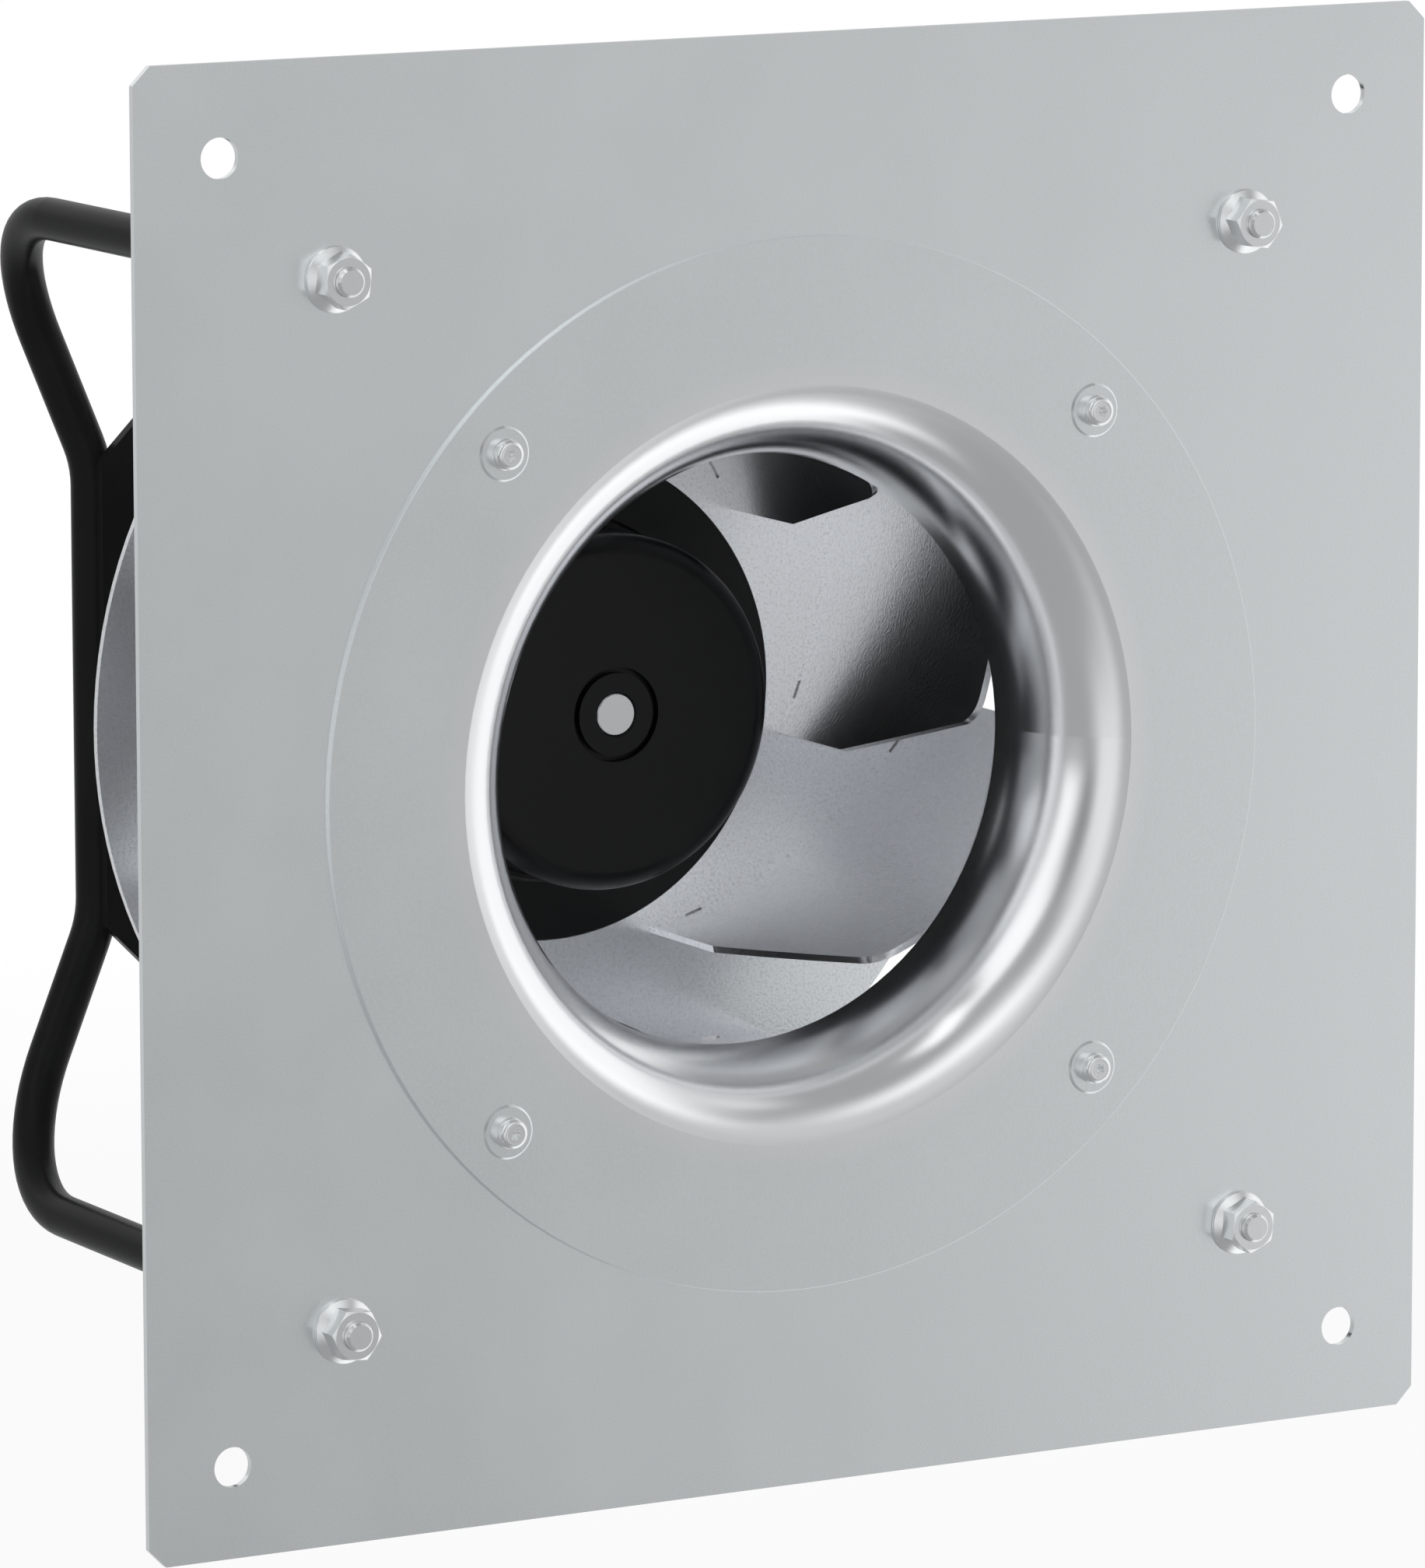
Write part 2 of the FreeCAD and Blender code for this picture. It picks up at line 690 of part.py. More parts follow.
# One blade: curved sheet with a kinked leading edge and tabs into both discs
def make_blade():
    inner = blade_arc_r
    outer = blade_arc_r + blade_sheet
    sheet = arc_band(0, blade_length, blade_front_y, disc_front, inner, outer)
    drop = blade_kink_y - blade_front_y
    reach = math.hypot(blade_slope_length, drop)
    back = V(-blade_slope_length / reach, drop / reach, 0)
    corner = V(blade_slope_length, blade_front_y, 0)
    half = back.getAngle(V(1, 0, 0)) / 2
    tangent = blade_corner_round / math.tan(half)
    bisector = (back + V(1, 0, 0)).normalize()
    middle = corner + bisector * (blade_corner_round / math.sin(half) - blade_corner_round)
    start = corner + back * tangent
    end = corner + V(tangent, 0, 0)
    ahead = V(-blade_cut_reach, blade_front_y - blade_cut_reach, 0)
    lowest = V(end.x, ahead.y, 0)
    kink = V(0, blade_kink_y, 0)
    outside = V(-blade_cut_reach, blade_kink_y, 0)
    edges = [Part.makeLine(outside, kink),
             Part.makeLine(kink, start),
             Part.Arc(start, middle, end).toShape(),
             Part.makeLine(end, lowest),
             Part.makeLine(lowest, ahead),
             Part.makeLine(ahead, outside)]
    cutter = Part.Face(Part.Wire(edges)).extrude(V(0, 0, 2 * blade_cut_reach))
    cutter.translate(V(0, 0, -blade_cut_reach))
    angle = blade_start_angle + math.degrees(blade_slope_length / 2 / blade_arc_r)
    cutter.translate(V(-blade_slope_length / 2, 0, 0))
    cutter.rotate(CENTRE, AXIS, -90 - angle)
    a = math.radians(angle)
    cutter.translate(V(blade_arc_x + inner * math.cos(a), 0, blade_arc_z + inner * math.sin(a)))
    blade = sheet.cut([cutter, shroud_solid(shroud_trim)])
    tabs = []
    for s0, s1 in tab_spans:
        tabs.append(arc_band(s0, s1, disc_front, disc_rear + tab_out, inner, outer))
    shell = shroud_solid(shroud_sheet + tab_out)
    for s0, s1 in shroud_tab_spans:
        tabs.append(arc_band(s0, s1, shroud_lip_y, disc_front, inner, outer).common(shell))
    return blade.multiFuse(tabs).removeSplitter()


def tab_slots(spans, y0, y1, gap_inner):
    inner = blade_arc_r - gap_inner
    outer = blade_arc_r + blade_sheet + tab_gap_outer
    slots = []
    for s0, s1 in spans:
        slots += spread(arc_band(s0 - tab_gap_end, s1 + tab_gap_end, y0, y1, inner, outer), blade_count)
    return slots


def make_back_disc():
    disc = ring(disc_r, disc_bore_r, disc_front, disc_rear)
    holes = tab_slots(tab_spans, disc_front - 1, disc_rear + 1, tab_gap_inner)
    for x, z in circle_spots(hub_screw_circle_r, hub_screw_count, 0):
        holes.append(cyl(m4_r + screw_clearance, disc_front - 1, disc_rear + 1, x, z))
    return disc.cut(holes)


def make_shroud():
    shroud = shroud_solid(shroud_sheet)
    return shroud.cut(tab_slots(shroud_tab_spans, shroud_lip_y, disc_front, tab_gap_outer))


def shroud_rim_y():
    turn = math.radians(shroud_bend_angle)
    bend_x = shroud_neck_r + shroud_bend_r * (1 - math.cos(turn))
    bend_y = shroud_neck_end_y + shroud_bend_r * math.sin(turn)
    return bend_y + (disc_r - bend_x) / math.tan(turn)


# Spring clips pushed over the rim of the front disc
def make_clips():
    clip = box(-clip_depth, clip_wall, -shroud_sheet - clip_wall, clip_wall,
               -clip_width / 2, clip_width / 2)
    clip.rotate(CENTRE, V(0, 0, 1), 90 - shroud_bend_angle)
    clip.translate(V(disc_r, shroud_rim_y(), 0))
    clip = clip.cut(shroud_solid(shroud_sheet))
    return [around(clip, angle) for angle in clip_angles]


def make_rotor_can():
    inner = rotor_r - rotor_wall
    top = rotor_front_y
    corner = V(rotor_face_r, top, 0)
    rim = V(rotor_r, top + rotor_shoulder, 0)
    across = rotor_r - rotor_face_r
    bulge = 1 - math.sqrt(0.5)
    arc_middle = V(rotor_r - across * bulge, top + rotor_shoulder * bulge, 0)
    chain = [V(shaft_r, top + shaft_seat_chamfer, 0), V(shaft_r + shaft_seat_chamfer, top, 0),
             V(groove_inner_r, top, 0), V(groove_inner_r, top + groove_depth, 0),
             V(groove_outer_r, top + groove_depth, 0), V(groove_outer_r, top, 0), corner]
    close = [rim, V(rotor_r, disc_rear, 0), V(inner, disc_rear, 0),
             V(inner, top + rotor_face + rotor_inner_slope, 0),
             V(inner - rotor_inner_slope, top + rotor_face, 0),
             V(rotor_boss_r, top + rotor_face, 0), V(rotor_boss_r, bearing_front_y, 0),
             V(shaft_r, bearing_front_y, 0), V(shaft_r, top + shaft_seat_chamfer, 0)]
    edges = Part.makePolygon(chain).Edges
    edges.append(Part.Arc(corner, arc_middle, rim).toShape())
    edges += Part.makePolygon(close).Edges
    return revolve(edges)


def make_hub_flange():
    r = rotor_r
    start = hub_ring_front - hub_collar_length
    points = [(r, start), (hub_collar_r - hub_collar_edge, start),
              (hub_collar_r, start + hub_collar_edge),
              (hub_collar_r, hub_ring_front - hub_root), (hub_collar_r + hub_root, hub_ring_front),
              (hub_ring_r - hub_edge, hub_ring_front), (hub_ring_r, hub_ring_front + hub_edge),
              (hub_ring_r, disc_front), (r, disc_front)]
    hub = turned_profile(points)
    spots = circle_spots(hub_screw_circle_r, hub_screw_count, 0)
    return hub.cut([cyl(m4_r, disc_front - hub_screw_depth, disc_front + 1, x, z)
                    for x, z in spots])


# Low screws from behind that end blind in the hub ring
def make_hub_screws():
    shank = cyl(m4_r, disc_front - hub_screw_depth, disc_rear)
    head = cyl(hub_screw_head_r, disc_rear, disc_rear + hub_screw_head)
    top = disc_rear + hub_screw_head
    socket = hexagon(hub_screw_key, top - hub_screw_socket, top + 1)
    head = head.makeChamfer(hub_screw_edge, [e for e in head.Edges if e.BoundBox.YMin > top - 0.1])
    screw = shank.fuse(head).cut(socket)
    spots = circle_spots(hub_screw_circle_r, hub_screw_count, 0)
    return [at(screw, x, z) for x, z in spots]


def make_magnets():
    outer = rotor_r - rotor_wall
    segment = ring(outer, outer - magnet_thickness, magnet_front, magnet_rear)
    half = math.radians(magnet_span / 2)
    reach = outer * 2
    wedge = outline([V(0, magnet_front - 1, 0),
                     V(reach * math.cos(half), magnet_front - 1, reach * math.sin(half)),
                     V(reach * math.cos(half), magnet_front - 1, -reach * math.sin(half))],
                    magnet_rear - magnet_front + 2)
    return spread(segment.common(wedge), magnet_count)


def make_shaft():
    end = shaft_end_y
    clip = shaft_clip_y
    points = [(0, rotor_front_y), (shaft_r - shaft_front_edge, rotor_front_y),
              (shaft_r, rotor_front_y + shaft_front_edge), (shaft_r, clip), (shaft_groove_r, clip),
              (shaft_groove_r, clip + shaft_clip_thickness),
              (shaft_r, clip + shaft_clip_thickness), (shaft_r, end - shaft_rear_edge),
              (shaft_r - shaft_rear_edge, end), (0, end)]
    return turned_profile(points)


def make_shaft_clip():
    y0, y1 = shaft_clip_y, shaft_clip_y + shaft_clip_thickness
    clip = ring(shaft_clip_r, shaft_groove_r, y0, y1)
    half = shaft_clip_gap / 2
    return clip.cut(box(shaft_r / 2, shaft_clip_r + 1, y0 - 1, y1 + 1, -half, half))


def bearing_rings(y0):
    middle = y0 + bearing_width / 2
    torus = Part.makeTorus(pitch_r, race_r, V(0, middle, 0), AXIS)
    inner = ring(inner_land_r, shaft_r, y0, y0 + bearing_width).cut(torus)
    outer = ring(bearing_r, outer_land_r, y0, y0 + bearing_width).cut(torus)
    return outer, inner


def bearing_balls(y0):
    middle = y0 + bearing_width / 2
    spots = circle_spots(pitch_r, ball_count, 0)
    return [Part.makeSphere(ball_r, V(x, middle, z)) for x, z in spots]


def bearing_cage(y0):
    middle = y0 + bearing_width / 2
    cage = ring(pitch_r + cage_half_depth, pitch_r - cage_half_depth,
                middle - cage_half_width, middle + cage_half_width)
    pocket = Part.makeCylinder(race_r, pitch_r, V(pitch_r / 2, middle, 0), V(1, 0, 0))
    return cage.cut(spread(pocket, ball_count))


def make_bearing_tube():
    front = tube_front_y
    floor_y = housing_front + housing_floor
    flange_end = floor_y + tube_flange_thickness
    clip = inner_clip_y
    points = [(bearing_r, front), (tube_r, front), (tube_r, floor_y), (tube_flange_r, floor_y),
              (tube_flange_r, flange_end), (tube_r, flange_end), (tube_r, tube_rear_y),
              (bearing_r, tube_rear_y), (bearing_r, clip + inner_clip_thickness),
              (inner_clip_groove_r, clip + inner_clip_thickness), (inner_clip_groove_r, clip),
              (bearing_r, clip), (bearing_r, bearing_rear_y), (tube_land_r, bearing_rear_y),
              (tube_land_r, bearing_front_y + bearing_width),
              (bearing_r, bearing_front_y + bearing_width)]
    tube = turned_profile(points)
    spots = circle_spots(tube_screw_circle_r, tube_screw_count, 90)
    return tube.cut([cyl(m4_r + screw_clearance, floor_y - 1, flange_end + 1, x, z)
                     for x, z in spots])


# Socket screw with its head towards +Y on y = 0
def socket_screw(radius, length, head_r, head_height, socket):
    head = cyl(head_r, 0, head_height)
    top = [e for e in head.Edges if e.BoundBox.YMin > head_height - 0.1]
    head = head.makeChamfer(socket_edge, top)
    recess = hexagon(socket, head_height * (1 - socket_depth_share), head_height + 1)
    return head.fuse(cyl(radius, -length, 0)).removeSplitter().cut(recess)


def make_inner_clip():
    y0, y1 = inner_clip_y, inner_clip_y + inner_clip_thickness
    clip = ring(inner_clip_groove_r, inner_clip_r, y0, y1)
    half = inner_clip_gap / 2
    return clip.cut(box(inner_clip_r / 2, inner_clip_groove_r + 1, y0 - 1, y1 + 1, -half, half))


def make_preload_spring():
    y0 = bearing_rear_y + bearing_width
    y1 = y0 + preload_height
    outer = bearing_r - preload_clearance
    inner = outer - preload_width
    points = [(outer, y0), (outer, y0 + preload_wall), (inner, y1 + preload_wall), (inner, y1)]
    return turned_profile(points)


def tooth_boxes(width, r0, r1, y0, y1):
    tooth = box(r0, r1, y0, y1, -width / 2, width / 2)
    return spread(tooth, slot_count)


def make_stack():
    y0, y1 = stack_front, stack_rear
    stack = ring(stack_r, tube_r, y0, y1)
    slots = ring(shoe_r, yoke_r, y0 - 1, y1 + 1)
    slots = slots.cut(tooth_boxes(tooth_width, yoke_r - 2, shoe_r + 2, y0 - 2, y1 + 2))
    openings = tooth_boxes(slot_opening, shoe_r - 1, stack_r + 1, y0 - 1, y1 + 1)
    half_pitch = 180.0 / slot_count
    return stack.cut([slots] + [around(b, half_pitch) for b in openings])


# End insulator with lips that hold the coils in and out
def make_insulator(y0, y1, lip0, lip1):
    plan = ring(yoke_r, tube_r + insulator_tube_gap, y0, y1)
    rim = ring(stack_r - insulator_rim_inset, shoe_r, y0, y1)
    teeth = tooth_boxes(tooth_width, yoke_r - 1, shoe_r + 1, y0, y1)
    inner_lip = ring(yoke_r + insulator_lip, yoke_r, lip0, lip1)
    outer_lip = ring(shoe_r + insulator_lip, shoe_r, lip0, lip1)
    half_pitch = 180.0 / slot_count
    gaps = tooth_boxes(slot_opening, shoe_r - 1, stack_r + 1, lip0 - 1, lip1 + 1)
    shape = join([plan, rim, inner_lip, outer_lip] + teeth)
    return shape.cut([around(g, half_pitch) for g in gaps])


# Rounded rectangular coil around one tooth, its axis along X
def make_coil():
    y0 = stack_front - insulator_thickness - coil_gap
    y1 = stack_rear + insulator_thickness + coil_gap
    half = tooth_width / 2 + coil_gap

    def loop(grow, radius):
        body = box(coil_inner_r, coil_outer_r, y0 - grow, y1 + grow, -half - grow, half + grow)
        corners = [e for e in body.Edges if abs(e.tangentAt(e.FirstParameter).x) > 0.9]
        return body.makeFillet(radius, corners) if radius > 0 else body

    return loop(coil_side, coil_round).cut(loop(0.0, 0.0))


def make_housing():
    front = housing_front
    floor_y = front + housing_floor
    inner = housing_r - housing_wall
    rim = motor_plate_front - housing_rim
    points = [(tube_r, front), (housing_r - housing_edge_round, front),
              (housing_r, front + housing_edge_round), (housing_r, motor_plate_front),
              (housing_opening_r, motor_plate_front), (housing_opening_r, rim), (inner, rim),
              (inner, floor_y), (tube_r, floor_y)]
    pot = turned_profile(points)
    fin = box(housing_r - fin_root, housing_r + fin_height, fin_front, fin_rear,
              -fin_thickness / 2, fin_thickness / 2)
    bosses = [cyl(boss_r, floor_y, rim, x, z)
              for x, z in circle_spots(motor_bolt_circle_r, 4, 45)]
    posts = [cyl(post_r, floor_y, board_front, x, z)
             for x, z in circle_spots(post_circle_r, post_count, post_turn)]
    cast = pot.multiFuse(spread(fin, fin_count) + bosses + posts)
    holes = []
    for x, z in circle_spots(motor_bolt_circle_r, 4, 45):
        holes.append(cyl(m6_r, motor_plate_rear - m6_length, motor_plate_front + 1, x, z))
    for x, z in circle_spots(cover_screw_circle_r, 4, 45):
        holes.append(cyl(m4_r, rim - 1, motor_plate_front + 1, x, z))
    for x, z in circle_spots(tube_screw_circle_r, tube_screw_count, 90):
        holes.append(cyl(m4_r, floor_y - m4_thread_reach, floor_y + 1, x, z))
    depth = board_screw_reach + board_screw_end_gap
    for x, z in circle_spots(post_circle_r, post_count, post_turn):
        holes.append(cyl(board_screw_r, board_front - depth, board_front + 1, x, z))
    for x, z in circle_spots(lead_hole_circle_r, 3, 30):
        holes.append(cyl(lead_hole_r, front - 1, floor_y + 1, x, z))
    return cast.cut(holes)


def make_board():
    rear = board_front + board_thickness
    board = cyl(board_r, board_front, rear)
    holes = [cyl(board_screw_r + board_screw_clearance, board_front - 1, rear + 1, x, z)
             for x, z in circle_spots(post_circle_r, post_count, post_turn)]
    return board.cut(holes)


# Capacitors, choke, terminal block, power module and small parts on the board
def make_components():
    rear = board_front + board_thickness
    parts = []
    for k in range(capacitor_count):
        x = capacitor_pitch * (k - (capacitor_count - 1) / 2)
        can = cyl(capacitor_r, rear, rear + capacitor_length, x, capacitor_z)
        top = [e for e in can.Edges if e.BoundBox.YMin > rear + capacitor_length - 0.1]
        parts.append(can.makeFillet(capacitor_round, top))
    parts.append(Part.makeTorus(choke_r, choke_wire_r, V(choke_x, rear + choke_wire_r, choke_z), AXIS))
    top = rear + terminal_height
    block = box(-terminal_half_x, terminal_half_x, rear, top, terminal_z, terminal_z + terminal_depth)
    first = -terminal_pitch * (terminal_count - 1) / 2
    ways = [cyl(terminal_way_r, top - terminal_way_depth, top + 1, first + terminal_pitch * k,
                terminal_z + terminal_depth / 2) for k in range(terminal_count)]
    parts.append(block.cut(ways))
    parts.append(box(module_x, module_x + module_width, rear, rear + module_height,
                     module_z, module_z + module_depth))
    for k in range(chip_count):
        x = chip_x + chip_pitch * k
        parts.append(box(x, x + chip_width, rear, rear + chip_height, chip_z, chip_z + chip_depth))
    return parts


def make_cover():
    flange = cyl(cover_flange_r, cover_front, cover_face)
    dome = cyl(cover_dome_r, cover_front, cover_rear)
    top = [e for e in dome.Edges if e.BoundBox.YMin > cover_rear - 0.1]
    dome = dome.makeFillet(cover_round, top)
    block = box(-gland_block_half_x, gland_block_half_x, gland_y - gland_block_half_y,
                gland_y + gland_block_half_y, gland_face_z, gland_block_inner_z)
    body = dome.multiFuse([flange, block]).removeSplitter()
    hollow = cyl(cover_dome_r - cover_wall, cover_front - 1, cover_rear - cover_wall)
    cuts = [hollow]
    for x in (-gland_x, gland_x):
        start = V(x, gland_y, gland_face_z - 1)
        depth = gland_block_inner_z - gland_face_z + 1
        cuts.append(Part.makeCylinder(gland_thread_r, depth, start, V(0, 0, 1)))
    for x, z in circle_spots(cover_screw_circle_r, 4, 45):
        cuts.append(cyl(m4_r + screw_clearance, cover_front - 1, cover_face + 1, x, z))
    return body.cut(cuts)


def make_gasket():
    gasket = ring(cover_flange_r, housing_opening_r, motor_plate_front, cover_front)
    spots = circle_spots(cover_screw_circle_r, 4, 45)
    return gasket.cut([cyl(m4_r + screw_clearance, motor_plate_front - 1, cover_front + 1, x, z)
                       for x, z in spots])


# Cable gland rising towards +Y from y = 0: threaded body, seal and domed cap nut
def make_gland():
    start = gland_hex_height
    neck_end = start + gland_neck_length
    thread = cyl(gland_thread_r, -gland_thread_length, 0)
    neck = cyl(gland_thread_r, start, neck_end)
    body = hexagon(gland_hex, 0, start).multiFuse([thread, neck])
    bore = cyl(gland_bore_r + gland_body_gap, -gland_thread_length - 1, neck_end + 1)
    seat = cyl(gland_seal_r, start + gland_seal_seat, neck_end + 1)
    body = body.cut([bore, seat])
    end = start + gland_nut_height
    corner = gland_hex / math.sqrt(3) + hex_face_inset
    crown = turned_profile([(0, start), (corner, start), (corner, start + gland_crown_start),
                            (gland_crown_r, end), (0, end)])
    cap = hexagon(gland_hex, start, end).common(crown)
    cap = cap.cut([cyl(gland_thread_r, start - 1, end - gland_nut_wall),
                   cyl(gland_bore_r, start - 1, end + 1)])
    seal = ring(gland_seal_r, gland_bore_r, start + gland_seal_seat, neck_end - gland_seal_gap)
    return body, seal, cap


# Both glands hang from the underside of the cover
def at_glands(shape):
    hanging = shape.copy()
    hanging.rotate(CENTRE, V(1, 0, 0), -90)
    return [at(hanging, x, gland_face_z, gland_y) for x in (-gland_x, gland_x)]


os.makedirs("parts", exist_ok=True)

save("nozzle_plate", make_nozzle_plate())
save("inlet_nozzle", make_inlet_nozzle())

screw_seat = -nozzle_sheet - nozzle_pad_height
screws = []
nuts = []
small_nut = flange_nut(m4_r + thread_gap, m4_nut_hex, m4_nut_height, m4_nut_flange_r,
                       m4_nut_rim, m4_nut_cone_top)
small_nut.rotate(CENTRE, V(1, 0, 0), 180)
for (x, z), turn in zip(square_spots(nozzle_screw_offset), m4_screw_turns):
    screws.append(at(around(pan_screw(m4_screw_end - screw_seat), turn), x, z, screw_seat))
    nuts.append(at(small_nut, x, z, plate_thickness))
save("nozzle_screws", screws)
save("nozzle_nuts", nuts)

big_nuts = []
for (x, z), turn in zip(square_spots(stud_offset), m8_nut_turns):
    nut = flange_nut(m8_r + thread_gap, m8_nut_hex, m8_nut_height, m8_flange_r,
                     m8_flange_rim, m8_cone_top, turn)
    big_nuts.append(at(nut, x, z))
save("flange_nuts", big_nuts)

left_rod = make_rod(-1)
right_rod = make_rod(1)
save("left_bracket_rod", left_rod)
save("right_bracket_rod", right_rod)
save("motor_plate", make_motor_plate())
save("bracket_welds", make_welds([left_rod, right_rod]))
bolt = flange_bolt()
save("motor_bolts", [at(bolt, x, z, motor_plate_rear)
                     for x, z in circle_spots(motor_bolt_circle_r, 4, 45)])

save("back_disc", make_back_disc())
save("blades", spread(make_blade(), blade_count))
save("front_shroud", make_shroud())
save("balance_clips", make_clips())
save("rotor_can", make_rotor_can())
save("hub_flange", make_hub_flange())
save("hub_screws", make_hub_screws())
save("magnet_segments", make_magnets())
save("shaft", make_shaft())
save("shaft_circlip", make_shaft_clip())

for name, y0 in (("front", bearing_front_y), ("rear", bearing_rear_y)):
    outer_ring, inner_ring = bearing_rings(y0)
    save(name + "_bearing_outer_ring", outer_ring)
    save(name + "_bearing_inner_ring", inner_ring)
    save(name + "_bearing_balls", bearing_balls(y0))
    save(name + "_bearing_cage", bearing_cage(y0))

save("bearing_tube", make_bearing_tube())
tube_screw = socket_screw(m4_r, tube_flange_thickness + m4_thread_reach - m4_end_gap,
                          m4_cap_r, m4_cap_height, m4_cap_key)
tube_screw_y = housing_front + housing_floor + tube_flange_thickness
save("tube_screws", [at(tube_screw, x, z, tube_screw_y)
                     for x, z in circle_spots(tube_screw_circle_r, tube_screw_count, 90)])
save("bearing_circlip", make_inner_clip())
save("preload_spring", make_preload_spring())
save("lamination_stack", make_stack())
front_cap = make_insulator(stack_front - insulator_thickness, stack_front,
                           stack_front - insulator_thickness - insulator_lip_height, stack_front)
rear_cap = make_insulator(stack_rear, stack_rear + insulator_thickness,
                          stack_rear, stack_rear + insulator_thickness + insulator_lip_height)
save("stator_insulators", [front_cap, rear_cap])
save("stator_windings", spread(make_coil(), slot_count))
save("stator_housing", make_housing())

save("circuit_board", make_board())
save("board_components", make_components())
board_screw = socket_screw(board_screw_r, board_thickness + board_screw_reach,
                           board_screw_head_r, board_screw_head, board_screw_key)
save("board_screws", [at(board_screw, x, z, board_front + board_thickness)
                      for x, z in circle_spots(post_circle_r, post_count, post_turn)])
save("electronics_cover", make_cover())
save("cover_gasket", make_gasket())
cover_screw = socket_screw(m4_r, cover_face - motor_plate_front + m4_thread_reach,
                           m4_cap_r, m4_cap_height, m4_cap_key)
save("cover_screws", [at(cover_screw, x, z, cover_face)
                      for x, z in circle_spots(cover_screw_circle_r, 4, 45)])
gland_body, gland_seal, gland_cap = make_gland()
save("gland_bodies", at_glands(gland_body))
save("gland_seals", at_glands(gland_seal))
save("gland_nuts", at_glands(gland_cap))
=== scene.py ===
import json
import math

import bpy
from mathutils import Matrix, Vector


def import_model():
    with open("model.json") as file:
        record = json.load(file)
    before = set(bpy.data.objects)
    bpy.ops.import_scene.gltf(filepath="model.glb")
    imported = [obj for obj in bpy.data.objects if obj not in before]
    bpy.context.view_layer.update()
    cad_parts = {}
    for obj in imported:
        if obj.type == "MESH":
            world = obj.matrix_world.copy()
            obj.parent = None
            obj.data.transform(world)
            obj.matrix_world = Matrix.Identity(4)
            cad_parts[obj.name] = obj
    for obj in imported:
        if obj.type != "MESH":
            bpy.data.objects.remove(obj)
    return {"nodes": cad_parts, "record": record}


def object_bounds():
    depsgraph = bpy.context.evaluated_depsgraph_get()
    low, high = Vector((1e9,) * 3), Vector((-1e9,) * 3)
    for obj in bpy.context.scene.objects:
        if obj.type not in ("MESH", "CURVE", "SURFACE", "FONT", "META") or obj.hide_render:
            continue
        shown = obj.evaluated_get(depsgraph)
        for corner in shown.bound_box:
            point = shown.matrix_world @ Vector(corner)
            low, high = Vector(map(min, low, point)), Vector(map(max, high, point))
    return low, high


# Dressing of the plug fan: sheet-metal grain, polished nozzle, satin black coatings, studio
# light and the camera. Every shape is a CAD node. Lengths in metres, angles in degrees.

MM = 0.001

# Camera: place, heading from +Y towards +X, tilt and roll, and its lens in millimetres for a
# sensor of that height
CAMERA_PLACE = (-1.33332, -2.32541, 0.43653)
CAMERA_HEADING = 29.308
CAMERA_TILT = -9.349
CAMERA_ROLL = -0.124
CAMERA_LENS = 229.07
SENSOR_HEIGHT = 36.0
VIEW_END = 60.0

# Floor: its side, the distances from the fan axis between which it fades away, the share of
# plain white that the camera sees in it, and the two tones and the size of its clouds
FLOOR_SIZE = 4.0
FLOOR_FADE = (0.42, 0.95)
FLOOR_WHITE = 0.93
FLOOR_TONES = (0.79, 0.81)
FLOOR_CLOUD = 0.4
FLOOR_ROUGHNESS = 0.9
FLOOR_SPECULAR = 0.1

# Studio: level of the grey room and of the side behind the object, and the room's colour
ROOM_LEVEL = 0.36
BACKDROP_LEVEL = 0.62
ROOM_COLOR = (0.985, 0.995, 1.0)

# A direction is behind the object from the first X + Y to the second, and from the first Z
# down to the second
BEHIND_SIDE = (0.0, 0.5)
BEHIND_HEIGHT = (0.78, 0.30)

# Where metal mirrors the white backdrop: heading of its middle, how far from that it fades
# in, and the Z of a direction from which it fades in above
WHITE_HEADING = 105
WHITE_FADE = (62, 42)
WHITE_ABOVE = (0.20, 0.45)

# Soft panels: heading, height, half width, half height, soft edge, and level
PANELS = (
    (172.0, 22.5, 3.8, 3.7, 30.0, 1.25),
    (199.9, -0.7, 10.3, 3.0, 30.0, 0.80),
    (248.4, 30.1, 9.3, 27.1, 8.0, 1.04),
    (212.7, 68.5, 5.0, 2.2, 8.0, 1.25),
    (143.7, -36.0, 3.7, 9.5, 10.7, 0.52),
    (132.0, 12.8, 26.2, 1.5, 30.0, 0.57),
    (110.3, -20.9, 14.7, 35.8, 18.7, 1.13),
    (124.3, -10.7, 19.3, 1.5, 8.0, 0.87),
    (107.0, 46.0, 1.5, 1.5, 12.7, 0.71),
    (230.1, 11.2, 1.5, 4.6, 20.3, 0.26),
)

# Clouds in metal and in coatings, how far they move the roughness, and the bump's full height
METAL_CLOUD = 45 * MM
METAL_SPREAD = 0.08
COAT_CLOUD = 30 * MM
COAT_SPREAD = 0.1
BUMP_HEIGHT = 0.1 * MM

# Throat of the nozzle, smoother as spinning leaves it, and with a brighter colour there that is
# painted sheen
# # standing in for the lip's highlights: distances from the fan axis between which that finish
# and
# # painted sheen end, its share of the roughness, and the painted sheen colour
THROAT_EDGE = (102 * MM, 112 * MM)
THROAT_SHARE = 0.84
THROAT_SHEEN_COLOR = (0.96, 0.97, 0.98)

# Faces of a bracket rod in front of this Y are its stud ends
STUD_BACK = 2.05 * MM

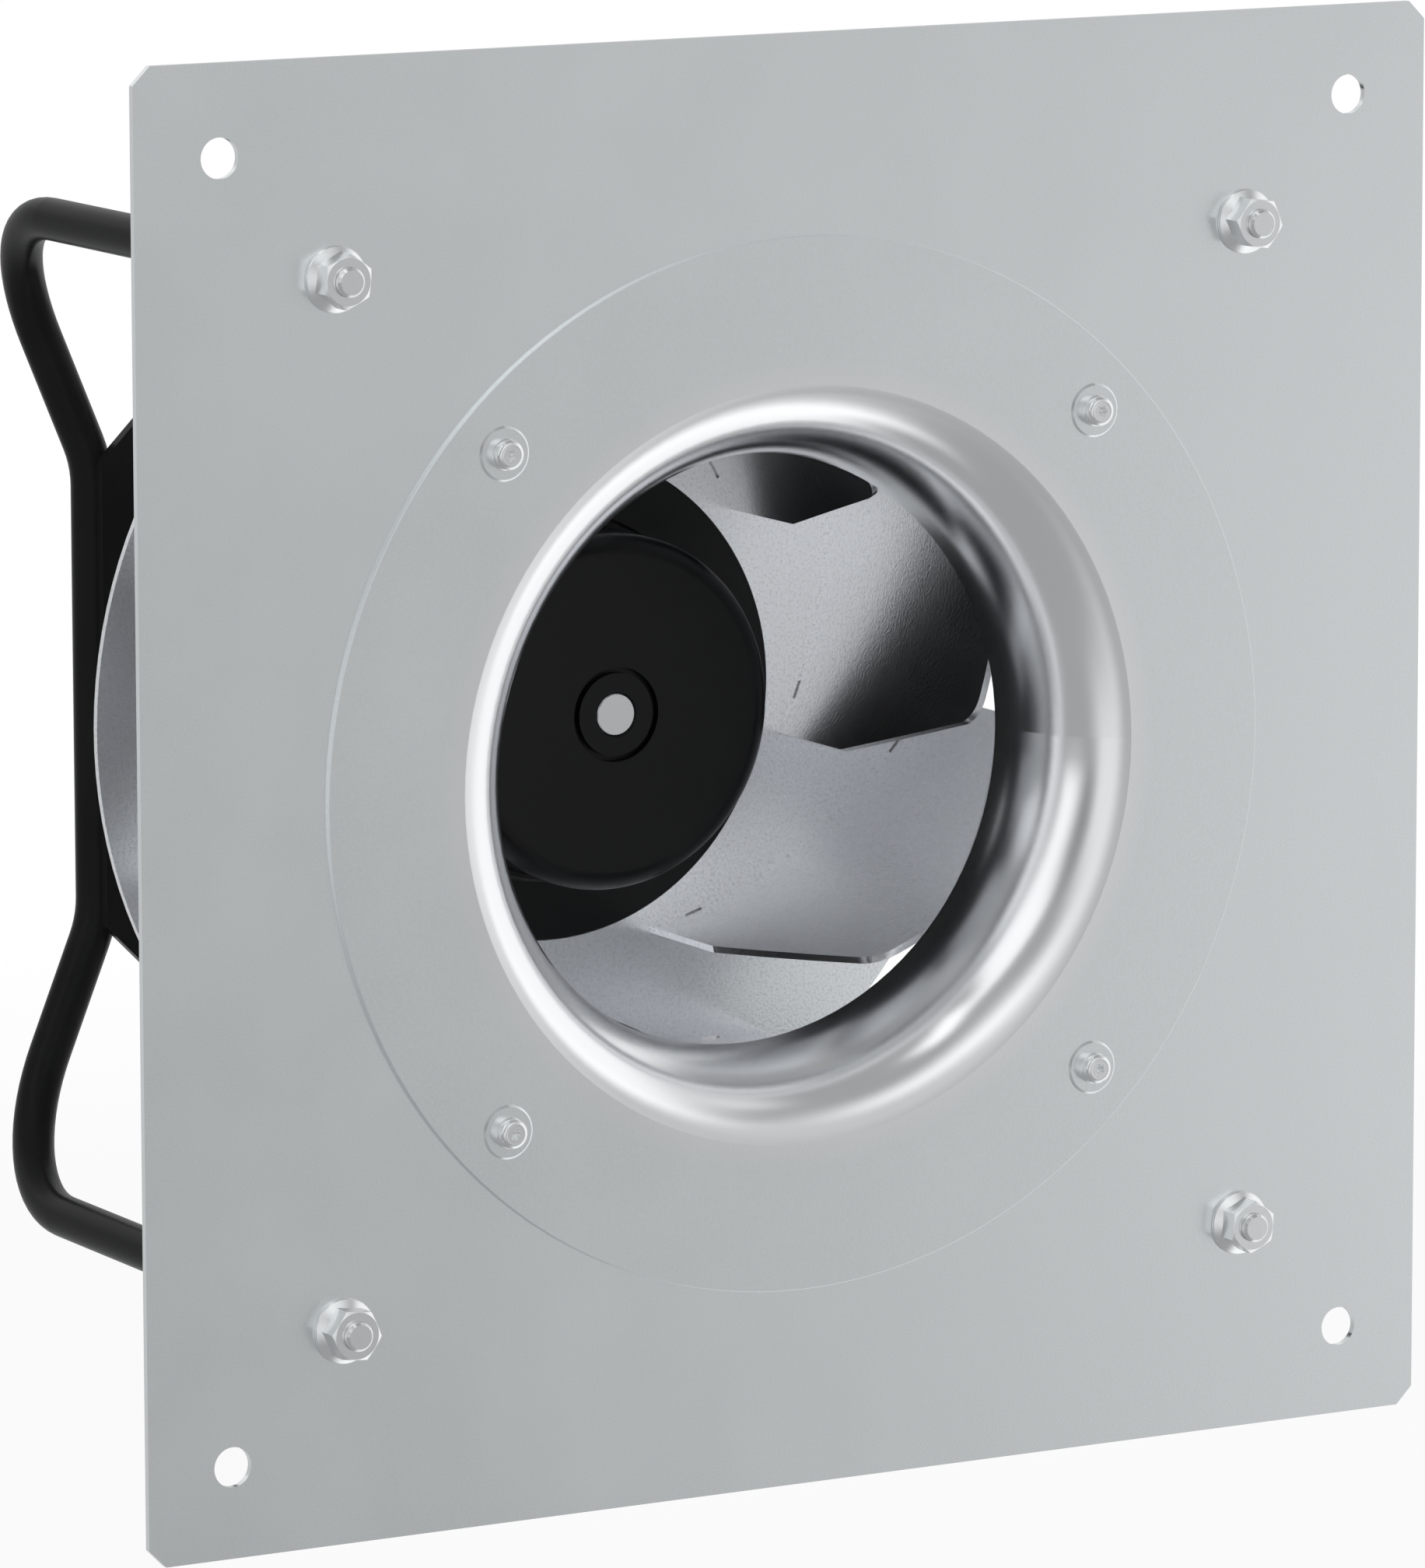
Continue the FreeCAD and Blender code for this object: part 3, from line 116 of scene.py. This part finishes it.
# Rolled, spun, cast and ground metal by the record's material slot
METALS = {
    "galvanised_sheet": dict(
        color=(0.895, 0.925, 0.935), rough=0.22, grain=0.5 * MM, bump=0.10, contrast=0.04),
    "polished_sheet": dict(
        color=(0.885, 0.91, 0.92), rough=0.22, grain=0.5 * MM, bump=0.08, contrast=0.03,
        throat=True),
    "wheel_sheet": dict(
        color=(0.905, 0.915, 0.94), rough=0.24, grain=0.9 * MM, bump=0.62, contrast=0.07,
        specks=(0.35, 0.50)),
    "zinc_plated": dict(
        color=(0.90, 0.915, 0.92), rough=0.20, grain=0.8 * MM, bump=0.03, contrast=0.02),
    "ground_steel": dict(
        color=(0.80, 0.81, 0.82), rough=0.30, grain=0.5 * MM, bump=0.04, contrast=0.02),
    "spring_steel": dict(
        color=(0.32, 0.32, 0.34), rough=0.35, grain=0.8 * MM, bump=0.05, contrast=0.05),
    "cast_aluminium": dict(
        color=(0.76, 0.77, 0.78), rough=0.48, grain=1.4 * MM, bump=0.30, contrast=0.05,
        cloud=0.08),
    "electrical_steel": dict(
        color=(0.45, 0.46, 0.48), rough=0.40, grain=0.5 * MM, bump=0.10, contrast=0.05),
}

# Coatings, plastics, rubber, ferrite and lacquered copper by the record's material slot
COATS = {
    "ferrite": dict(color=(0.09, 0.09, 0.10), rough=0.50, grain=0.6 * MM, bump=0.20),
    "black_coating": dict(
        color=(0.0200, 0.0200, 0.0204), rough=0.26, grain=0.9 * MM, bump=0.03, specular=0.06),
    "black_rotor": dict(
        color=(0.0035, 0.0037, 0.0045), rough=0.34, grain=0.8 * MM, bump=0.05, specular=0.25),
    "insulator_plastic": dict(
        color=(0.72, 0.68, 0.55), rough=0.45, grain=1.0 * MM, bump=0.05, contrast=0.05),
    "copper_wire": dict(
        color=(0.55, 0.20, 0.07), rough=0.35, grain=1.2 * MM, bump=0.4, contrast=0.2),
    "board_laminate": dict(
        color=(0.03, 0.16, 0.07), rough=0.40, grain=2.0 * MM, bump=0.05, contrast=0.1),
    "component_plastic": dict(color=(0.03, 0.03, 0.035), rough=0.30, grain=1.0 * MM, bump=0.03),
    "cover_plastic": dict(color=(0.020, 0.020, 0.022), rough=0.50, grain=0.8 * MM, bump=0.25),
    "gland_plastic": dict(color=(0.022, 0.022, 0.024), rough=0.45, grain=0.8 * MM, bump=0.15),
    "seal_rubber": dict(color=(0.012, 0.012, 0.012), rough=0.75, grain=0.6 * MM, bump=0.15),
    "cage_plastic": dict(
        color=(0.30, 0.22, 0.12), rough=0.45, grain=0.6 * MM, bump=0.05, contrast=0.08),
}

# Sockets of a Mix node for colours and for numbers
MIX_SHARE = 0
COLOR_A, COLOR_B, COLOR_OUT = 6, 7, 2
LEVEL_A, LEVEL_B, LEVEL_OUT = 2, 3, 0

WHITE = (1.0, 1.0, 1.0)


def add_node(tree, kind, inputs=None, **settings):
    node = tree.nodes.new(kind)
    for key, value in settings.items():
        setattr(node, key, value)
    for key, value in (inputs or {}).items():
        if isinstance(value, bpy.types.NodeSocket):
            tree.links.new(value, node.inputs[key])
        else:
            node.inputs[key].default_value = value
    return node


def math_node(tree, operation, first, second=0.0):
    inputs = {0: first, 1: second}
    return add_node(tree, "ShaderNodeMath", inputs, operation=operation).outputs[0]


# Length of a place once each axis is kept or dropped by 1 or 0
def length_over(tree, place, axes):
    flat = add_node(tree, "ShaderNodeVectorMath", {0: place, 1: axes}, operation="MULTIPLY")
    length = add_node(tree, "ShaderNodeVectorMath", {0: flat.outputs[0]}, operation="LENGTH")
    return length.outputs["Value"]


def noise(tree, place, size, detail, roughness=0.5):
    inputs = {"Vector": place, "Scale": 1.0 / size, "Detail": detail, "Roughness": roughness}
    return add_node(tree, "ShaderNodeTexNoise", inputs).outputs["Fac"]


# Value from start to end spread from low to high, held beyond them. A noise lies mostly
# between 0.3 and 0.7.
def spread_range(tree, value, low, high, start=0.3, end=0.7):
    inputs = {"Value": value, "From Min": start, "From Max": end, "To Min": low, "To Max": high}
    return add_node(tree, "ShaderNodeMapRange", inputs).outputs["Result"]


# 0 at start and 1 at end, eased at both
def smooth_step(tree, value, start, end):
    inputs = {"Value": value, "From Min": start, "From Max": end}
    node = add_node(tree, "ShaderNodeMapRange", inputs, interpolation_type="SMOOTHSTEP")
    return node.outputs["Result"]


def mix_level(tree, low, high, share):
    inputs = {MIX_SHARE: share, LEVEL_A: low, LEVEL_B: high}
    return add_node(tree, "ShaderNodeMix", inputs, data_type="FLOAT").outputs[LEVEL_OUT]


def mix_color(tree, first, second, share, blend="MIX"):
    inputs = {MIX_SHARE: share, COLOR_A: first, COLOR_B: second}
    node = add_node(tree, "ShaderNodeMix", inputs, data_type="RGBA", blend_type=blend)
    return node.outputs[COLOR_OUT]


def mix_shaders(tree, first, second, share):
    return add_node(tree, "ShaderNodeMixShader", {0: share, 1: first, 2: second}).outputs[0]


def opaque(color):
    return (*color, 1.0)


def scaled(color, factor):
    return opaque(min(1.0, c * factor) for c in color)


# 1 for a ray that a mirror or glass sends on
def mirror_ray(tree, rays):
    return math_node(tree, "MAXIMUM", rays["Is Glossy Ray"], rays["Is Transmission Ray"])


def start_material(name):
    material = bpy.data.materials.new(name)
    material.use_nodes = True
    tree = material.node_tree
    tree.nodes.clear()
    shader = add_node(tree, "ShaderNodeBsdfPrincipled")
    output = add_node(tree, "ShaderNodeOutputMaterial")
    tree.links.new(shader.outputs["BSDF"], output.inputs["Surface"])
    place = add_node(tree, "ShaderNodeTexCoord").outputs["Object"]
    return material, tree, shader, place


def set_surface(tree, shader, color, roughness, height, bump):
    tree.links.new(color, shader.inputs["Base Color"])
    tree.links.new(roughness, shader.inputs["Roughness"])
    inputs = {"Height": height, "Strength": bump, "Distance": BUMP_HEIGHT}
    normal = add_node(tree, "ShaderNodeBump", inputs).outputs["Normal"]
    tree.links.new(normal, shader.inputs["Normal"])


# Sheet, cast or ground metal: crystalline grain, whose colour goes from dark to light over the
# range of the noise given as specks, faint broad clouds, and a slight change of roughness
def sheet_metal(name, color, rough, grain, bump, contrast, cloud=0.03, throat=False,
                specks=(0.25, 0.75)):
    material, tree, shader, place = start_material(name)
    fine = noise(tree, place, grain, detail=3.0, roughness=0.6)
    broad = noise(tree, place, METAL_CLOUD, detail=3.0)
    speck = spread_range(tree, fine, 0.0, 1.0, *specks)
    base = mix_color(tree, scaled(color, 1.0 - contrast), scaled(color, 1.0 + contrast), speck)
    roughness = spread_range(
        tree, broad, rough * (1.0 - METAL_SPREAD), rough * (1.0 + METAL_SPREAD))
    if throat:
        reach = length_over(tree, place, (1.0, 0.0, 1.0))
        spin_finish_and_sheen = spread_range(tree, reach, 1.0, 0.0, *THROAT_EDGE)
        # Painted sheen: inside the throat the base colour is brightened towards the throat
        # colour to stand in for the lip's highlights; the smoother roughness below is the real
        # spun finish
        base = mix_color(tree, base, opaque(THROAT_SHEEN_COLOR), spin_finish_and_sheen)
        smooth = spread_range(tree, spin_finish_and_sheen, 1.0, THROAT_SHARE, 0.0, 1.0)
        roughness = math_node(tree, "MULTIPLY", roughness, smooth)
    shade = mix_color(tree, scaled(WHITE, 1.0 - cloud), opaque(WHITE), broad)
    base = mix_color(tree, base, shade, 1.0, blend="MULTIPLY")
    shader.inputs["Metallic"].default_value = 1.0
    set_surface(tree, shader, base, roughness, fine, bump)
    return material


# Paint, powder coating or moulded plastic: soft orange-peel bump and a little dust tone
def coated(name, color, rough, grain, bump, contrast=0.25, specular=0.5):
    material, tree, shader, place = start_material(name)
    fine = noise(tree, place, grain, detail=2.0)
    broad = noise(tree, place, COAT_CLOUD, detail=3.0)
    base = mix_color(tree, scaled(color, 1.0 - contrast), scaled(color, 1.0 + contrast), broad)
    roughness = spread_range(
        tree, broad, rough * (1.0 - COAT_SPREAD), rough * (1.0 + COAT_SPREAD))
    shader.inputs["Specular IOR Level"].default_value = specular
    set_surface(tree, shader, base, roughness, fine, bump)
    return material


def make_materials():
    materials = {name: sheet_metal(name, **values) for name, values in METALS.items()}
    materials.update({name: coated(name, **values) for name, values in COATS.items()})
    return materials


def dress_nodes(frame, materials):
    for part in frame["record"]["subparts"]:
        slots = frame["nodes"][part["node"]].data.materials
        slots.clear()
        slots.append(materials[part["material_slot"]])


# The stud ends in front of the plate are zinc plated, the rest of each rod is coated
def plate_studs(frame, materials):
    for name in ("left_bracket_rod", "right_bracket_rod"):
        mesh = frame["nodes"][name].data
        mesh.materials.append(materials["zinc_plated"])
        for face in mesh.polygons:
            if face.center.y < STUD_BACK:
                face.material_index = 1


# Rotation of the camera, whose right, up and backward directions are its columns
def camera_rotation():
    heading = math.radians(CAMERA_HEADING)
    tilt = math.radians(CAMERA_TILT)
    level = math.cos(tilt)
    ahead = Vector((math.sin(heading) * level, math.cos(heading) * level, math.sin(tilt)))
    right = Vector((math.cos(heading), -math.sin(heading), 0.0))
    up = right.cross(ahead)
    turn = Matrix((right, up, -ahead)).transposed()
    return turn @ Matrix.Rotation(math.radians(CAMERA_ROLL), 3, "Z")


def make_camera():
    data = bpy.data.cameras.new("camera")
    data.sensor_fit = "VERTICAL"
    data.sensor_height = SENSOR_HEIGHT
    data.lens = CAMERA_LENS
    data.clip_end = VIEW_END
    camera = bpy.data.objects.new("camera", data)
    camera.matrix_world = Matrix.Translation(CAMERA_PLACE) @ camera_rotation().to_4x4()
    bpy.context.scene.collection.objects.link(camera)
    bpy.context.scene.camera = camera


# Level of the grey room with its soft panels, at a heading and a height in degrees
def room_level(tree, heading, height, across, behind):
    level = mix_level(tree, ROOM_LEVEL, BACKDROP_LEVEL, behind)
    for middle, rise, half_width, half_height, edge, strength in PANELS:
        aside = math_node(tree, "ABSOLUTE", math_node(tree, "SUBTRACT", heading, middle))
        aside = math_node(tree, "MULTIPLY", aside, across)
        above = math_node(tree, "ABSOLUTE", math_node(tree, "SUBTRACT", height, rise))
        mask = math_node(tree, "MULTIPLY",
                         smooth_step(tree, aside, half_width + edge, half_width),
                         smooth_step(tree, above, half_height + edge, half_height))
        level = mix_level(tree, level, strength, mask)
    return level


# World: grey room with soft panels for light, white backdrop for the camera, and for mirrors
# that look behind the object to the right or upwards
def make_world():
    world = bpy.data.worlds.new("studio")
    world.use_nodes = True
    tree = world.node_tree
    tree.nodes.clear()
    direction = add_node(tree, "ShaderNodeTexCoord").outputs["Generated"]
    split = add_node(tree, "ShaderNodeSeparateXYZ", {"Vector": direction}).outputs
    side = math_node(tree, "ADD", split["X"], split["Y"])
    behind = math_node(tree, "MULTIPLY", smooth_step(tree, side, *BEHIND_SIDE),
                       smooth_step(tree, split["Z"], *BEHIND_HEIGHT))
    heading = math_node(tree, "DEGREES", math_node(tree, "ARCTAN2", split["X"], split["Y"]))
    heading = math_node(tree, "FLOORED_MODULO", heading, 360.0)
    height = math_node(tree, "ARCSINE", split["Z"])
    across = math_node(tree, "COSINE", height)
    level = room_level(tree, heading, math_node(tree, "DEGREES", height), across, behind)
    rays = add_node(tree, "ShaderNodeLightPath").outputs
    turned = math_node(tree, "ABSOLUTE", math_node(tree, "SUBTRACT", heading, WHITE_HEADING))
    bright = math_node(tree, "MAXIMUM", smooth_step(tree, turned, *WHITE_FADE),
                       smooth_step(tree, split["Z"], *WHITE_ABOVE))
    mirrored = math_node(tree, "MULTIPLY", mirror_ray(tree, rays),
                         math_node(tree, "MULTIPLY", behind, bright))
    white = math_node(tree, "MAXIMUM", rays["Is Camera Ray"], mirrored)
    room = add_node(tree, "ShaderNodeBackground",
                    {"Color": opaque(ROOM_COLOR), "Strength": level}).outputs[0]
    backdrop = add_node(tree, "ShaderNodeBackground",
                        {"Color": opaque(WHITE), "Strength": 1.0}).outputs[0]
    output = add_node(tree, "ShaderNodeOutputWorld")
    tree.links.new(mix_shaders(tree, room, backdrop, white), output.inputs["Surface"])
    bpy.context.scene.world = world


# Pale paper that the camera sees almost white. It fades into the backdrop, and reflections
# pass it.
def floor_material():
    material, tree, shader, place = start_material("floor_paper")
    dark, light = (opaque((tone,) * 3) for tone in FLOOR_TONES)
    tone = mix_color(tree, dark, light, noise(tree, place, FLOOR_CLOUD, detail=3.0))
    tree.links.new(tone, shader.inputs["Base Color"])
    shader.inputs["Roughness"].default_value = FLOOR_ROUGHNESS
    shader.inputs["Specular IOR Level"].default_value = FLOOR_SPECULAR
    reach = length_over(tree, place, (1.0, 1.0, 0.0))
    rays = add_node(tree, "ShaderNodeLightPath").outputs
    gone = math_node(tree, "MAXIMUM", smooth_step(tree, reach, *FLOOR_FADE),
                     mirror_ray(tree, rays))
    paper = add_node(tree, "ShaderNodeEmission", {"Color": opaque(WHITE), "Strength": 1.0})
    seen = math_node(tree, "MULTIPLY", rays["Is Camera Ray"], FLOOR_WHITE)
    lit = mix_shaders(tree, shader.outputs["BSDF"], paper.outputs[0], seen)
    clear = add_node(tree, "ShaderNodeBsdfTransparent").outputs[0]
    output = next(node for node in tree.nodes if node.type == "OUTPUT_MATERIAL")
    tree.links.new(mix_shaders(tree, lit, clear, gone), output.inputs["Surface"])
    return material


def make_floor(height):
    half = FLOOR_SIZE / 2
    corners = [(x * half, y * half, height) for x, y in ((-1, -1), (1, -1), (1, 1), (-1, 1))]
    mesh = bpy.data.meshes.new("floor")
    mesh.from_pydata(corners, [], [(0, 1, 2, 3)])
    mesh.materials.append(floor_material())
    floor = bpy.data.objects.new("floor", mesh)
    bpy.context.scene.collection.objects.link(floor)


def main():
    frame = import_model()
    cad_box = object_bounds()
    materials = make_materials()
    dress_nodes(frame, materials)
    plate_studs(frame, materials)
    make_camera()
    make_world()
    make_floor(cad_box[0][2])
    bpy.context.scene.view_settings.view_transform = "Standard"


main()
